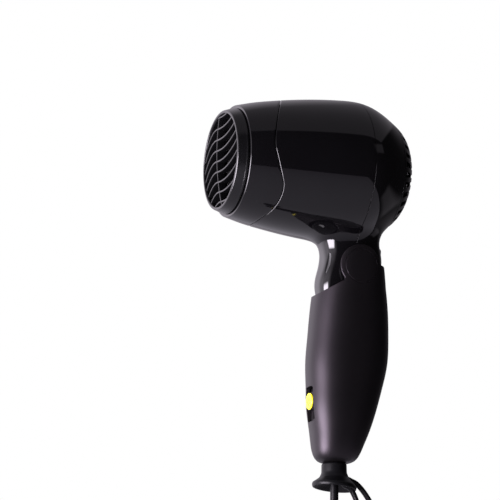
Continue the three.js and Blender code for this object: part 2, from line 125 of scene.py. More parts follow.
# One finish for each of the record's slots, and "grille", a glossier matte for the outlet alone.
MATERIALS = {
    "gloss_housing": material("gloss_black", (0.0016, 0.0015, 0.0018), 0.05, vary=0.1, bump=0.0,
                              rough_vary=0.012, grain=700, specular=0.42),
    "matte_plastic": material("matte_black", (0.006, 0.0058, 0.0062), 0.42, vary=0.2, grain=5000, bump=0.1),
    "soft_touch": material("soft_touch_black", (0.002, 0.0019, 0.002), 0.405, vary=0.12, grain=7000,
                           bump=0.06, specular=0.3, tint=(1.0, 0.87, 1.0)),
    "grille": material("grille_black", (0.0016, 0.0016, 0.0018), 0.2, vary=0.2, grain=5000, bump=0.04,
                       specular=0.42),
    "yellow": material("switch_yellow", (1.0, 0.86, 0.03), 0.35, vary=0.04, grain=4000, bump=0.05),
    "rubber": material("black_rubber", (0.0035, 0.0035, 0.004), 0.34, vary=0.2, grain=4000, bump=0.08,
                       specular=0.12),
    "steel": material("bright_steel", (0.55, 0.56, 0.58), 0.28, metallic=1.0, vary=0.08, grain=3000,
                      bump=0.08),
    # painted shade: the mica board, really tan, is made near black to stand in for the shade inside the barrel
    "mica": material("mica_painted_shade", (0.006, 0.0055, 0.005), 0.7, vary=0.3, grain=1500, bump=0.3),
    "inner_plastic": material("inner_grey", (0.006, 0.006, 0.0065), 0.55, grain=3000, bump=0.1),
    "copper": material("wound_copper", (0.25, 0.11, 0.05), 0.45, metallic=0.6, vary=0.2, grain=1800,
                       bump=0.5),
    "heater_wire": material("dark_wire", (0.02, 0.017, 0.015), 0.5, metallic=1.0, vary=0.2, grain=3000,
                            bump=0.1),
}

# ---------- mesh helpers ----------


class Skin:
    """Vertices, normals and faces gathered into one piece."""

    def __init__(self):
        self.v, self.n, self.f, self.count = [], [], [], 0

    def add(self, v, f, n=None):
        v = np.asarray(v, float)
        n = np.full(v.shape, np.nan) if n is None else np.asarray(n, float)
        self.v.append(v)
        self.n.append(n)
        self.f += [[int(i) + self.count for i in q] for q in f]
        self.count += len(v)
        return self

    def grid(self, rows, ends=(False, False), flip=False):
        """A net of quads over rows of points that close on themselves; ends closes the first and last row."""
        rows = np.asarray(rows, float)
        m, k = rows.shape[:2]
        f = []
        for i in range(m - 1):
            for j in range(k):
                q = [i * k + j, i * k + (j + 1) % k, (i + 1) * k + (j + 1) % k, (i + 1) * k + j]
                f.append(q[::-1] if flip else q)
        if ends[0]:
            f.append(list(range(k)) if flip else list(range(k))[::-1])
        if ends[1]:
            f.append([(m - 1) * k + j for j in range(k)][:: -1 if flip else 1])
        return self.add(rows.reshape(-1, 3), f)

    def box(self, low, high):
        pick, sides = (low, high), (0, 1)
        corners = [[pick[i][0], pick[j][1], pick[k][2]] for i in sides for j in sides for k in sides]
        faces = [(0, 1, 3, 2), (4, 6, 7, 5), (0, 4, 5, 1), (2, 3, 7, 6), (0, 2, 6, 4), (1, 5, 7, 3)]
        return self.add(corners, faces)

    def make(self, name, body, slot, replaces=(), smooth_angle=None, finish=None):
        """The piece, shaded smooth; edges sharper than smooth_angle stay sharp, and given normals stay."""
        v, n = np.concatenate(self.v), np.concatenate(self.n)
        mesh = bpy.data.meshes.new(name)
        mesh.from_pydata(metres(v).tolist(), [], self.f)
        mesh.update()
        mesh.shade_smooth()
        if smooth_angle is not None:
            mesh.set_sharp_from_angle(angle=math.radians(smooth_angle))
        if not np.isnan(n).all():
            own = np.array([x.normal[:] for x in mesh.vertices])
            n = np.where(np.isnan(n), own, n)
            n /= np.linalg.norm(n, axis=1)[:, None]
            mesh.normals_split_custom_set_from_vertices(n.tolist())
        piece = bpy.data.objects.new(name, mesh)
        bpy.context.collection.objects.link(piece)
        return finish_piece(piece, body, slot, replaces, finish)


def finish_piece(piece, body, slot, replaces=(), finish=None):
    piece.data.materials.append(MATERIALS[finish or slot])
    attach(piece, body)
    if replaces:
        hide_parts(*replaces)
    return piece


def spline(knots):
    """A natural cubic through (x, y...) rows, straight beyond its ends, and its first derivative."""
    knots = np.asarray(knots, float)
    x, y = knots[:, 0], knots[:, 1:]
    m, h = len(x), np.diff(x)
    a, b = np.eye(m), np.zeros_like(y)
    for i in range(1, m - 1):
        a[i, i - 1 : i + 2] = h[i - 1], 2 * (h[i - 1] + h[i]), h[i]
        b[i] = 6 * ((y[i + 1] - y[i]) / h[i] - (y[i] - y[i - 1]) / h[i - 1])
    c = np.linalg.solve(a, b)

    def at(t, slope=False):
        t = np.asarray(t, float)
        u = np.clip(t, x[0], x[-1])
        i = np.clip(np.searchsorted(x, u) - 1, 0, m - 2)
        p, q, w = (x[i + 1] - u)[..., None], (u - x[i])[..., None], h[i][..., None]
        d = (-c[i] * p**2 + c[i + 1] * q**2) / (2 * w) + (y[i + 1] - y[i]) / w - w * (c[i + 1] - c[i]) / 6
        if slope:
            return d
        value = (c[i] * p**3 + c[i + 1] * q**3) / (6 * w)
        value = value + (y[i] / w - c[i] * w / 6) * p + (y[i + 1] / w - c[i + 1] * w / 6) * q
        return value + d * (t - u)[..., None]

    return at


def smooth_step(t):
    t = np.clip(t, 0, 1)
    return t * t * (3 - 2 * t)


def smooth_min(a, b, k):
    h = np.maximum(k - np.abs(a - b), 0) / k
    return np.minimum(a, b) - h**3 * k / 6


def smooth_max(a, b, k):
    return -smooth_min(-a, -b, k)


def loft_distance(p, centre, half_x, half_y, power):
    """Nearly the distance to an upright column whose section is a squarish oval."""
    u, v = np.abs(p[:, 0] - centre) / half_x, np.abs(p[:, 1]) / half_y
    g = np.maximum(u**power + v**power, 1e-9)
    steep = g ** (1 / power - 1) * np.hypot(u ** (power - 1) / half_x, v ** (power - 1) / half_y)
    return (g ** (1 / power) - 1) / np.maximum(steep, 1e-6)


# ---------- surfaces given as a field that is negative inside ----------

PROBE = 0.02  # how far apart a field is read for its slope
NET = 1.6  # width of a cell of a surface net
NEAR_CUT = 0.3  # a net's points this part of a cell from a cut are moved onto it
ON_CUT = 0.02
LIP_ANGLES = (0, 22.5, 45, 67.5, 90)


def gradient(field, p):
    return np.stack([(field(p + e) - field(p - e)) / (2 * PROBE) for e in np.eye(3) * PROBE], 1)


def unit_rows(v):
    return v / np.linalg.norm(v, axis=1)[:, None]


def snap(field, p, times=3, plane=None):
    """Moves points onto field = 0, and onto plane = 0 too where that is given."""
    for _ in range(times):
        for target in (plane, field):
            if target is not None:
                g = gradient(target, p)
                p = p - (target(p) / np.maximum((g**2).sum(1), 1e-9))[:, None] * g
    return p


def surface_net(field, low, high):
    """An even net of triangles over field = 0, with one point in each cell that the surface crosses."""
    sides = (0, 1)
    axes = [np.arange(low[i], high[i] + NET, NET) for i in range(3)]
    nodes = np.stack(np.meshgrid(*axes, indexing="ij"), -1)
    value = field(nodes.reshape(-1, 3)).reshape(nodes.shape[:3])
    inside = (value < 0).astype(int)
    a, b, c = np.array(value.shape) - 1
    total = sum(inside[i : a + i, j : b + j, k : c + k] for i in sides for j in sides for k in sides)
    cell = (total > 0) & (total < 8)
    index = np.full(cell.shape, -1)
    index[cell] = np.arange(cell.sum())
    where_sum, count = np.zeros(cell.shape + (3,)), np.zeros(cell.shape)
    quads = []
    for axis in range(3):
        others = [(axis + 1) % 3, (axis + 2) % 3]
        first, last = [slice(None)] * 3, [slice(None)] * 3
        first[axis], last[axis] = slice(0, -1), slice(1, None)
        start, end = value[tuple(first)], value[tuple(last)]
        crossing = (start < 0) != (end < 0)
        at = nodes[tuple(first)].copy()
        at[..., axis] += np.where(crossing, start / np.where(crossing, start - end, 1), 0) * NET
        for i in sides:
            for j in sides:
                part = [slice(None)] * 3
                part[others[0]] = slice(i, cell.shape[others[0]] + i)
                part[others[1]] = slice(j, cell.shape[others[1]] + j)
                hit = crossing[tuple(part)]
                where_sum += at[tuple(part)] * hit[..., None]
                count += hit
        quads.append(crossing_quads(start, crossing, others, value.shape, index))
    points = where_sum[cell] / count[cell][:, None]
    quads = np.concatenate(quads)
    quads = quads[(quads >= 0).all(1)]
    triangles = np.concatenate([quads[:, [0, 1, 2]], quads[:, [0, 2, 3]]])
    return snap(field, points), triangles


def crossing_quads(start, crossing, others, shape, index):
    """A quad through the four cells round each grid edge that the surface crosses, facing outwards."""
    spots = np.argwhere(crossing)
    ok = np.ones(len(spots), bool)
    for axis in others:
        ok &= (spots[:, axis] > 0) & (spots[:, axis] < shape[axis] - 1)
    spots = spots[ok]
    one, two = np.eye(3, dtype=int)[others]
    quad = np.stack([index[tuple((spots - off).T)] for off in (one + two, two, 0 * one, one)], 1)
    outward = start[tuple(spots.T)] < 0
    return np.where(outward[:, None], quad, quad[:, ::-1])


def drop_unused(p, triangles):
    used = np.unique(triangles)
    lookup = np.full(len(p), -1)
    lookup[used] = np.arange(len(used))
    return p[used], lookup[triangles]


def clip(field, p, triangles, cut):
    """Keeps the part of a net where cut < 0, with its new edge on cut = 0."""
    s = cut(p)
    crossed = triangles[(s[triangles] > 0).any(1) & (s[triangles] < 0).any(1)]
    near = (np.abs(s) < NEAR_CUT * NET) & np.isin(np.arange(len(p)), crossed)
    p = p.copy()
    p[near] = snap(field, p[near], 4, cut)
    s = np.where(near, 0.0, s)
    t = s[triangles]
    kept = [triangles[(t <= 0).all(1)]]
    mixed = triangles[(t > 0).any(1) & (t < 0).any(1)]
    fresh, made, extra = {}, [], []

    def split(a, b):
        key = (min(a, b), max(a, b))
        if key not in fresh:
            fresh[key] = len(p) + len(made)
            made.append(p[a] + (p[b] - p[a]) * s[a] / (s[a] - s[b]))
        return fresh[key]

    for tri in mixed:
        loop = []
        for i in range(3):
            a, b = int(tri[i]), int(tri[(i + 1) % 3])
            if s[a] <= 0:
                loop.append(a)
            if s[a] * s[b] < 0:
                loop.append(split(a, b))
        extra += [[loop[0], loop[i], loop[i + 1]] for i in range(1, len(loop) - 1)]
    if extra:
        kept.append(np.array(extra))
    if made:
        p = np.concatenate([p, snap(field, np.array(made), 4, cut)])
    return drop_unused(p, np.concatenate(kept))


def lip(skin, field, p, triangles, cut, radius, depth):
    """A rounded edge and a short wall inwards along the boundary where cut = 0."""
    edges = np.concatenate([triangles[:, [0, 1]], triangles[:, [1, 2]], triangles[:, [2, 0]]])
    present = dict.fromkeys(map(tuple, edges.tolist()))
    on = np.abs(cut(p)) < ON_CUT
    rim = [(a, b) for a, b in present if (b, a) not in present and on[a] and on[b]]
    ids = sorted({i for edge in rim for i in edge})
    order = {i: k for k, i in enumerate(ids)}
    q = p[ids]
    n = unit_rows(gradient(field, q))
    c = gradient(cut, q)
    c = unit_rows(c - (c * n).sum(1)[:, None] * n)
    rings, normals = [], []
    for angle in LIP_ANGLES:
        s, k = math.sin(math.radians(angle)), math.cos(math.radians(angle))
        rings.append(q + c * radius * s - n * radius * (1 - k))
        normals.append(n * k + c * s)
    rings.append(rings[-1] - n * depth)
    normals.append(c)
    m, faces = len(ids), []
    for i in range(len(rings) - 1):
        here, after = i * m, (i + 1) * m
        faces += [[here + order[b], here + order[a], after + order[a], after + order[b]] for a, b in rim]
    skin.add(np.concatenate(rings), faces, np.concatenate(normals))


def clipped_piece(name, field, net, cuts, body, slot, replaces):
    """cuts: (cut, edge radius, wall depth); a radius of None leaves a bare edge."""
    p, triangles = net
    for cut, radius, depth in cuts:
        p, triangles = clip(field, p, triangles, cut)
    skin = Skin()
    skin.add(p, triangles.tolist(), unit_rows(gradient(field, p)))
    for cut, radius, depth in cuts:
        if radius:
            lip(skin, field, p, triangles, cut, radius, depth)
    return skin.make(name, body, slot, replaces)


# ---------- driving dimensions, as in the CAD ----------

AXIS_Z = round(JOINTS["fan_spin"]["pos_m"][2] / MM - HINGE[2], 3)
BARREL = [  # x, radius
    (-70, 30.7), (-60, 33.3), (-50, 35.2), (-40, 36.8), (-30, 38.1), (-20, 39.1), (-10, 39.75), (-2, 39.8),
    (4, 38.9), (9, 37.2), (15, 34.1), (20.5, 30.6),
]
CAP_PROFILE = [(20.5, 30.6), (23, 28.8), (26.5, 25.2), (29.4, 19.8), (31.4, 11), (31.9, 0)]
PARTING = [  # degrees above the horizontal, x of the nozzle's back edge
    (-90, -57.2), (-83, -56.7), (-73, -55.5), (-65, -53.8), (-56, -52.1), (-47, -51), (-39, -50.6),
    (-32, -51), (-26, -52.2), (-17, -54.2), (-7, -56), (2, -57.2), (8, -57.2), (24, -55.5), (46, -51.3),
    (68, -46), (90, -43),
]
PARTING_ENDS = (-112, -55.5), (112, -46)
NOZZLE_FRONT, SEAM_X, CAP_X, GAP = -70.0, -0.9, 20.5, 0.26
NECK = [  # z, front, rear, half width
    (-14, -19.1, 11.6, 10.4), (-8, -19.6, 14.6, 11.5), (0, -17.9, 16.4, 12.2), (5, -16.7, 17.1, 12.3),
    (10.7, -16.5, 16.8, 12.4), (15, -16.6, 16, 12.4), (22, -17, 16, 12.4),
]
NECK_END = -13.9
NECK_POWER, NECK_SOFTER, NECK_BLEND = 3.0, 0.25, 11.0  # squareness, its loss upwards, and the fillet's size
HANDLE = [  # z, middle, half depth, half width
    (-110, -9.4, 9.6, 9.0), (-103.6, -9.2, 12.0, 10.9), (-98.5, -8.7, 13.6, 12.4), (-90, -7.3, 15.9, 14),
    (-78, -5.9, 18.8, 15.4), (-66, -4.3, 20.7, 16.2), (-52, -2.7, 22.5, 16.8), (-37.4, -1.6, 22.3, 17),
    (-20, -0.8, 21.2, 17), (-10, -0.5, 19.9, 17), (0, -0.3, 18.3, 17), (14, 0, 16.8, 17),
]
HANDLE_END = -106.8
HANDLE_POWER, HOOD_SQUARER, END_ROUND = 2.4, 0.4, 9.0  # squareness, its gain upwards, and the end's rounding
EAR_R, CAP_SEAT_R, REAR_Z = 12.0, 9.4, 1.8
RIM_POINT, RIM_SLOPE = (-21.1, -14.6), 0.553
SWITCH_Z, SWITCH_HALF, SWITCH_FRONT, KNOB_Z = -75.2, (4.8, 9.4), -24.2, -73.7
OUTLET = {
    "x": -76.3, "out": 27.3, "in": 25.6, "collar_x": -70.4, "collar_r": 29.1, "plug_r": 28.1, "back": -64,
}
BOOT_X, BOOT_TILT = -10.4, 0.105
CORD_R, COIL_R, COIL_Z, LAYER, TURNS = 2.25, 27.0, -204.0, 4.6, 9
PLUG_X, PLUG_Y, PLUG_TOP = -32.8, -14.0, -254.0
PIN_APART, PIN_LONG = 9.5, 18.9

barrel_radius = spline(BARREL)
parting_x = spline([PARTING_ENDS[0]] + PARTING + [PARTING_ENDS[1]])
neck_section = spline(NECK)
handle_section = spline(HANDLE)

# ---------- outlines and sweeps ----------


def oval_loop(z, cx, cy, a, b, power=2.4, k=48):
    t = np.linspace(0, 2 * math.pi, k, endpoint=False)
    c, s = np.cos(t), np.sin(t)
    x = cx + a * np.sign(c) * np.abs(c) ** (2 / power)
    y = cy + b * np.sign(s) * np.abs(s) ** (2 / power)
    return np.stack([x, y, np.full(k, z)], 1)


def round_profile(points, corner=0.5, steps=4):
    """A (along, radius) outline with every inner point rounded off."""
    pts = [np.array(p, float) for p in points]
    out = [pts[0]]
    for a, b, c in zip(pts, pts[1:], pts[2:]):
        u, w = a - b, c - b
        lu, lw = np.linalg.norm(u), np.linalg.norm(w)
        r = min(corner, lu * 0.45, lw * 0.45)
        p0, p1 = b + u / lu * r, b + w / lw * r
        for t in np.linspace(0, 1, steps):
            out.append((1 - t) ** 2 * p0 + 2 * t * (1 - t) * b + t * t * p1)
    return np.array(out + [pts[-1]])


def turned_rows(profile, axis, centre, k=96):
    t = np.linspace(0, 2 * math.pi, k, endpoint=False)
    rows = []
    for along, r in profile:
        one, two, here = centre[0] + r * np.cos(t), centre[1] + r * np.sin(t), np.full(k, along)
        rows.append(np.stack([here, one, two] if axis == "x" else [one, two, here], 1))
    return rows


def tube_rows(path, radius, k=14, closed=False, flat=1.0):
    """Rows round a path that lies near the X-Z plane."""
    path = np.asarray(path, float)
    ahead, behind = np.roll(path, -1, 0), np.roll(path, 1, 0)
    if not closed:
        ahead[-1], behind[0] = path[-1], path[0]
    tangent = unit_rows(ahead - behind)
    side = np.array([0.0, 1.0, 0.0])
    a = np.linspace(0, 2 * math.pi, k, endpoint=False)[:, None]
    rows = []
    for p, t, r in zip(path, tangent, np.broadcast_to(radius, len(path))):
        n = np.cross(side, t)
        n /= np.linalg.norm(n)
        rows.append(p + r * (np.cos(a) * n + flat * np.sin(a) * side))
    if closed:
        rows.append(rows[0])
    return rows


def closed_curve(points, count):
    """count points of a smooth closed curve through the given ones."""
    pts = np.asarray(points, float)
    pts = np.concatenate([pts[-3:], pts, pts[:4]])
    along = np.r_[0, np.cumsum(np.linalg.norm(np.diff(pts, axis=0), axis=1))]
    return spline(np.c_[along, pts])(np.linspace(along[3], along[-4], count, endpoint=False))


# ---------- mains lead ----------


def lead_route():
    """Down from the boot, nine turns round the coil in three layers of three, and down to the plug."""
    join, leave = COIL_R + LAYER, 113.0
    theta = math.radians(leave - 46)
    bend = join * -math.cos(math.radians(leave)) / (1 - math.cos(theta))
    high = COIL_Z + math.sin(math.radians(leave)) * join + bend * math.sin(theta)
    route = [(BOOT_X, 0, z) for z in np.linspace(-101, -123, 7)]
    for z in np.linspace(-126, high, 10):
        route.append((BOOT_X, LAYER * smooth_step((z + 123) / (high + 123)), z))
    for a in np.linspace(0, theta, 9)[1:-1]:
        route.append((BOOT_X - bend * (1 - math.cos(a)), LAYER, high - bend * math.sin(a)))
    # the place of each turn, in layers: outwards, then sideways
    places = [(1, 1), (0, 1), (-1, 1), (-1, 0), (0, 0), (1, 0), (1, -1), (0, -1), (-1, -1), (-1, -2.05)]
    for t in np.arange(leave, 180 + 360 * TURNS + 0.1, 10.0):
        turn = max(0, int((t - 130) // 360))
        k = smooth_step((t - 130 - 360 * turn) / 60) if turn else 1.0
        here, there = np.array(places[max(turn - 1, 0)], float), np.array(places[min(turn, TURNS)], float)
        out, side = (here + (there - here) * k) * LAYER if turn else there * LAYER
        r, angle = COIL_R + out, math.radians(t)
        route.append((BOOT_X + r * math.cos(angle), side, COIL_Z + r * math.sin(angle)))
    x, y, z = route[-1]
    for drop in (6, 12, 18, 24, 30, 38, 48, 54):
        k = smooth_step(drop / 34)
        route.append((x + (PLUG_X - x) * k, y + (PLUG_Y - y) * k, z - drop))
    return np.array(route)


ROUTE = lead_route()


def make_lead():
    data = bpy.data.curves.new("mains_lead", "CURVE")
    data.dimensions = "3D"
    data.bevel_depth = CORD_R * MM
    data.bevel_resolution = 6
    data.use_fill_caps = True
    line = data.splines.new("POLY")
    line.points.add(len(ROUTE) - 1)
    for point, at in zip(line.points, metres(ROUTE)):
        point.co = (*at, 1.0)
    line.use_smooth = True
    piece = bpy.data.objects.new("mains_lead", data)
    bpy.context.collection.objects.link(piece)
    return finish_piece(piece, "handle", "rubber", ("cord", "cord_coil", "cord_tail"))


def make_plug_boot():
    """A taper with four raised rings."""
    centre, top = (PLUG_X, PLUG_Y), PLUG_TOP
    taper = round_profile([(top, 2.3), (top, 4.1), (top - 16, 5.9), (top - 16, 1.0)], 0.7)
    boot = Skin().grid(turned_rows(taper, "z", centre, 40), flip=True)
    for i in range(4):
        z, grow = top - 3 - 3.2 * i, 0.33 * i
        ring = round_profile([(z, 3.6), (z, 4.8 + grow), (z - 1.5, 4.95 + grow), (z - 1.5, 3.6)], 0.4)
        boot.grid(turned_rows(ring, "z", centre, 40), flip=True)
    return boot.make("plug_boot_ribbed", "handle", "rubber", ("plug_boot",))


def make_plug_body(top):
    """A rounded moulding with finger grips on both sides."""
    outline = [  # depth below the top, part of the full width
        (0, 0.30), (0, 0.5), (0.6, 0.56), (3, 0.67), (7, 0.83), (11, 0.93), (16, 0.985), (24, 1.0), (31, 1.0),
        (33, 0.985), (33.9, 0.94), (34, 0.88), (34, 0.3),
    ]
    rows = [oval_loop(top - d, PLUG_X, PLUG_Y, 16.9 * k, 11.9 * k, 3.0, 64) for d, k in outline]
    body = Skin().grid(rows, ends=(True, True), flip=True)
    for side in (-1, 1):
        for i in range(4):
            y, z, long = PLUG_Y + side * 11.75, top - 17 - 3 * i, 8 - 0.7 * i
            path = [(PLUG_X + dx, y, z) for dx in (-long, -long + 1, long - 1, long)]
            body.grid(tube_rows(path, [0.02, 0.7, 0.7, 0.02], 10, flat=0.2), ends=(True, True))
    return body.make("plug_moulding", "handle", "rubber", ("plug_body",))


def make_plug():
    top = PLUG_TOP - 16.3
    pieces = [make_plug_boot(), make_plug_body(top)]
    z = top - 34.3
    for name, s in (("near", -1), ("far", 1)):
        profile = round_profile([(z, 0.2), (z, 2.35), (z - PIN_LONG, 2.3), (z - PIN_LONG, 0.2)], 1.0, 6)
        rows = turned_rows(profile, "z", (PLUG_X + s * PIN_APART, PLUG_Y), 32)
        pin = Skin().grid(rows, ends=(True, True), flip=True)
        pieces.append(pin.make("plug_prong_" + name, "handle", "steel", ("plug_pin_" + name,)))
    return pieces


def make_tie():
    """A strap of hook-and-loop tape round the bundle."""
    at, half, inner, outer = math.radians(50), 3.4, 7.6, 8.6
    section = [(-half, inner), (-half, outer), (half, outer), (half, inner), (-half, inner)]
    rows = []
    for across, r in round_profile(section, 0.3, 3):
        loop = oval_loop(0, 0, 0, r, r, 3.2, 72)
        out = COIL_R + loop[:, 0]
        x = BOOT_X + out * math.sin(at) + across * math.cos(at)
        z = COIL_Z + out * math.cos(at) - across * math.sin(at)
        rows.append(np.stack([x, loop[:, 1], z], 1))
    return Skin().grid(rows).make("coil_strap", "handle", "matte_plastic", ("cord_tie",))


lead = make_lead()
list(make_plug())
make_tie()

# ---------- barrel ----------


def turn_about_axis(x, r, phi):
    """Points round the barrel's axis; phi is 0 on the near side and rises to the top."""
    return np.stack(np.broadcast_arrays(x, -r * np.cos(phi), AXIS_Z + r * np.sin(phi)), -1)


def make_nozzle():
    """The front shell, whose back edge is the S-shaped parting line."""
    columns, wall, nose, inner_nose, edge = 288, 2.0, 0.6, 0.35, 0.3
    phi = np.linspace(-math.pi / 2, 1.5 * math.pi, columns, endpoint=False)
    folded = np.degrees(np.where(phi > math.pi / 2, math.pi - phi, phi))
    end = parting_x(folded)[:, 0] - GAP / 2
    radius = lambda x: barrel_radius(x)[..., 0]
    inner, outer = radius(NOZZLE_FRONT) - wall, radius(NOZZLE_FRONT + nose)
    rows = [
        turn_about_axis(np.full(columns, -66.0), radius(-66.0) - wall, phi),
        turn_about_axis(np.full(columns, NOZZLE_FRONT + 0.5), inner, phi),
    ]
    for a in np.radians(np.linspace(-90, 90, 13)):
        reach, base = (nose, outer - nose) if a > 0 else (inner_nose, inner + inner_nose)
        x = NOZZLE_FRONT + reach - reach * math.cos(a)
        rows.append(turn_about_axis(np.full(columns, x), base + reach * math.sin(a), phi))
    start = NOZZLE_FRONT + nose
    for s in np.linspace(0, 1, 15)[1:]:
        x = start + (end - edge - start) * s
        rows.append(turn_about_axis(x, radius(x), phi))
    for a in np.radians(LIP_ANGLES[1:]):
        x = end - edge + edge * math.sin(a)
        rows.append(turn_about_axis(x, radius(end - edge) - edge * (1 - math.cos(a)), phi))
    rows.append(turn_about_axis(end, radius(end - edge) - wall, phi))
    skin = Skin().grid(rows, flip=True)
    skin.make("nozzle_shell_gloss", "barrel", "gloss_housing", ("nozzle_shell",))


def barrel_field(p):
    """The barrel's round shell run smoothly into the neck."""
    y, z = p[:, 1], p[:, 2] - AXIS_Z
    x = np.minimum(p[:, 0], 23.0)
    rise = barrel_radius(x, slope=True)[:, 0]
    shell = (np.hypot(y, z) - barrel_radius(x)[:, 0]) / np.sqrt(1 + rise**2)
    front, rear, half = neck_section(np.clip(p[:, 2], -16, 24)).T
    power = NECK_POWER - NECK_SOFTER * smooth_step((p[:, 2] - 4) / 6)
    column = loft_distance(p, (front + rear) / 2, (rear - front) / 2, half, power)
    column = np.maximum(column, p[:, 2] - AXIS_Z)
    return smooth_min(shell, column, NECK_BLEND)


def make_housings():
    """The front and rear housings, each with its half of the neck."""
    parting_r, front_r, rear_r, wall = 0.45, 0.1, 0.04, 1.8
    net = surface_net(barrel_field, (-64, -42, -16), (24, 42, 98))

    def parting(p):
        phi = np.degrees(np.arctan2(p[:, 2] - AXIS_Z, np.abs(p[:, 1])))
        return parting_x(phi)[:, 0] + GAP / 2 + parting_r - p[:, 0]

    floor = (lambda p: NECK_END - p[:, 2]), 0.3, 1.2
    front = (lambda p: p[:, 0] - (SEAM_X - GAP / 2 - front_r)), front_r, wall
    rear = (lambda p: (SEAM_X + GAP / 2 + rear_r) - p[:, 0]), rear_r, wall
    cap = (lambda p: p[:, 0] - (CAP_X - GAP / 2 - rear_r)), rear_r, wall
    for name, cuts in (("main_housing", [floor, (parting, parting_r, wall), front]),
                       ("rear_housing", [floor, rear, cap])):
        clipped_piece(name + "_gloss", barrel_field, net, cuts, "barrel", "gloss_housing", (name,))


SLOT_COLS = 3  # columns of the intake cap's net across one slot


def slot_walls(skin, grid, count, cols, first, last):
    """The rounded edge and the walls of each slot in the intake cap."""
    slot, inner_point = SLOT_COLS, np.array([5.0, 0, AXIS_Z])
    steps = ((0, 0), (0.12, 0.05), (0.2, 0.22), (0.2, 2.2))  # into the slot, and down its wall
    for c in range(count):
        ring = [(i, c * cols) for i in range(first, last)]
        ring += [(last, c * cols + j) for j in range(slot)]
        ring += [(i, c * cols + slot) for i in range(last, first, -1)]
        ring += [(first, c * cols + j) for j in range(slot, 0, -1)]
        pts = np.array([grid[i, j % grid.shape[1]] for i, j in ring])
        mid = pts.mean(0)
        out = mid - inner_point
        out /= np.linalg.norm(out)
        inward = mid - pts
        inward -= (inward @ out)[:, None] * out
        inward = unit_rows(inward)
        skin.grid([pts + inward * side - out * deep for side, deep in steps])


def make_intake_cap():
    """The domed back with its ring of slots, cut as open windows with rounded edges."""
    count, slot_part, rib_cols, edge_r, edge_at = 32, 0.54, 6, 0.25, 0.45
    slot_out, slot_in = 29.7, 16.6
    rows_out, rows_slot, rows_in = 7, 13, 16
    profile = [np.array(q, float) for q in CAP_PROFILE]
    along = np.r_[0, np.cumsum([np.linalg.norm(b - a) for a, b in zip(profile, profile[1:])])]
    dome = spline(np.c_[along, np.array(profile)])
    fine = np.linspace(edge_at, along[-1], 400)
    s0, s1 = (np.interp(-r, -dome(fine)[:, 1], fine) for r in (slot_out, slot_in))
    stations = np.r_[np.linspace(edge_at, s0, rows_out), np.linspace(s0, s1, rows_slot)[1:],
                     np.linspace(s1, along[-1] - 0.05, rows_in)[1:]]
    half = slot_part / 2
    u = np.r_[np.linspace(-half, half, SLOT_COLS + 1), np.linspace(half, 1 - half, rib_cols + 2)[1:-1]]
    cols = len(u)
    phi = (np.arange(count)[:, None] + u[None, :]).ravel() * 2 * math.pi / count
    face, edge = CAP_X + GAP / 2, dome(edge_at)[1]
    rows = [turn_about_axis(face, edge - 1.6, phi)]
    for a in np.radians((90, 60, 30)):
        x, r = face + edge_r * (1 - math.sin(a)), edge - edge_r * (1 - math.cos(a))
        rows.append(turn_about_axis(x, r, phi))
    first = len(rows) + rows_out - 1
    last = first + rows_slot - 1
    rows += [turn_about_axis(dome(s)[0], max(dome(s)[1], 0.05), phi) for s in stations]
    grid = np.array(rows)
    m, k = grid.shape[:2]
    faces = []
    for i in range(m - 1):
        for j in range(k):
            if not (first <= i < last and j % cols < SLOT_COLS):
                j1 = (j + 1) % k
                faces.append([i * k + j, (i + 1) * k + j, (i + 1) * k + j1, i * k + j1])
    faces.append([(m - 1) * k + j for j in range(k)])
    skin = Skin().add(grid.reshape(-1, 3), faces)
    slot_walls(skin, grid, count, cols, first, last)
    skin.make("intake_cap_slotted", "barrel", "gloss_housing", ("intake_cap",), smooth_angle=50)


def rib_y(z):
    """The curved upright rib that the slats cross."""
    return 7.0 - 0.0083 * (z - 5) ** 2


def wave(t):
    """How far a slat rises t mm from the rib: a shallow S, steeper towards the far side."""
    a = np.abs(t)
    return np.where(t > 0, 0.0105 * (a - 8) ** 2 - 0.67, 0.168 * a - 0.0235 * a**2.105)


def make_grille():
    """The outlet's ring, its waved slats and the rib."""
    o, thick, pitch, offset, span = OUTLET, 0.52, 6.05, 0.97, 27
    skin = Skin()
    ring = [
        (o["back"], o["in"]), (o["x"] + 0.9, o["in"]), (o["x"], o["in"] + 0.35), (o["x"], o["out"] - 0.3),
        (o["x"] + 0.35, o["out"] + 0.12), (o["collar_x"] - 1.3, o["collar_r"] - 0.25),
        (o["collar_x"] - 0.9, o["collar_r"]), (o["collar_x"], o["collar_r"]), (o["collar_x"], o["plug_r"]),
        (o["back"], o["plug_r"]), (o["back"], o["in"]),
    ]
    skin.grid(turned_rows(round_profile(ring, 0.28, 5), "x", (0, AXIS_Z), 160))
    front, back = o["x"] + 0.6, o["x"] + 4.6
    section = [
        (back, -thick), (front + 0.45, -thick), (front + 0.12, -thick * 0.75), (front, -thick * 0.3),
        (front, thick * 0.3), (front + 0.12, thick * 0.75), (front + 0.45, thick), (back, thick),
    ]

    def bar(y, z):
        """A slat along points in the outlet's plane, rounded in front, where they are inside the ring."""
        ok = np.hypot(y, z) < o["in"] + 0.6
        if ok.sum() > 3:
            pts = np.stack([y[ok], z[ok]], 1)
            t = unit_rows(np.gradient(pts, axis=0))
            n = np.stack([-t[:, 1], t[:, 0]], 1)
            rows = []
            for (y, z), (ny, nz) in zip(pts, n):
                rows.append([(x, y + w * ny, AXIS_Z + z + w * nz) for x, w in section])
            skin.grid(rows, ends=(True, True))

    for level in range(-6, 7):
        y, start = np.linspace(-span, span, 61), offset + level * pitch
        bar(y, start + wave(rib_y(start) - y))
    z = np.linspace(-span, span, 41)
    bar(rib_y(z), z)
    skin.make("outlet_grille_slats", "barrel", "matte_plastic", ("outlet_grille",), smooth_angle=40,
              finish="grille")


make_nozzle()
make_housings()
make_intake_cap()
make_grille()

# ---------- handle ----------

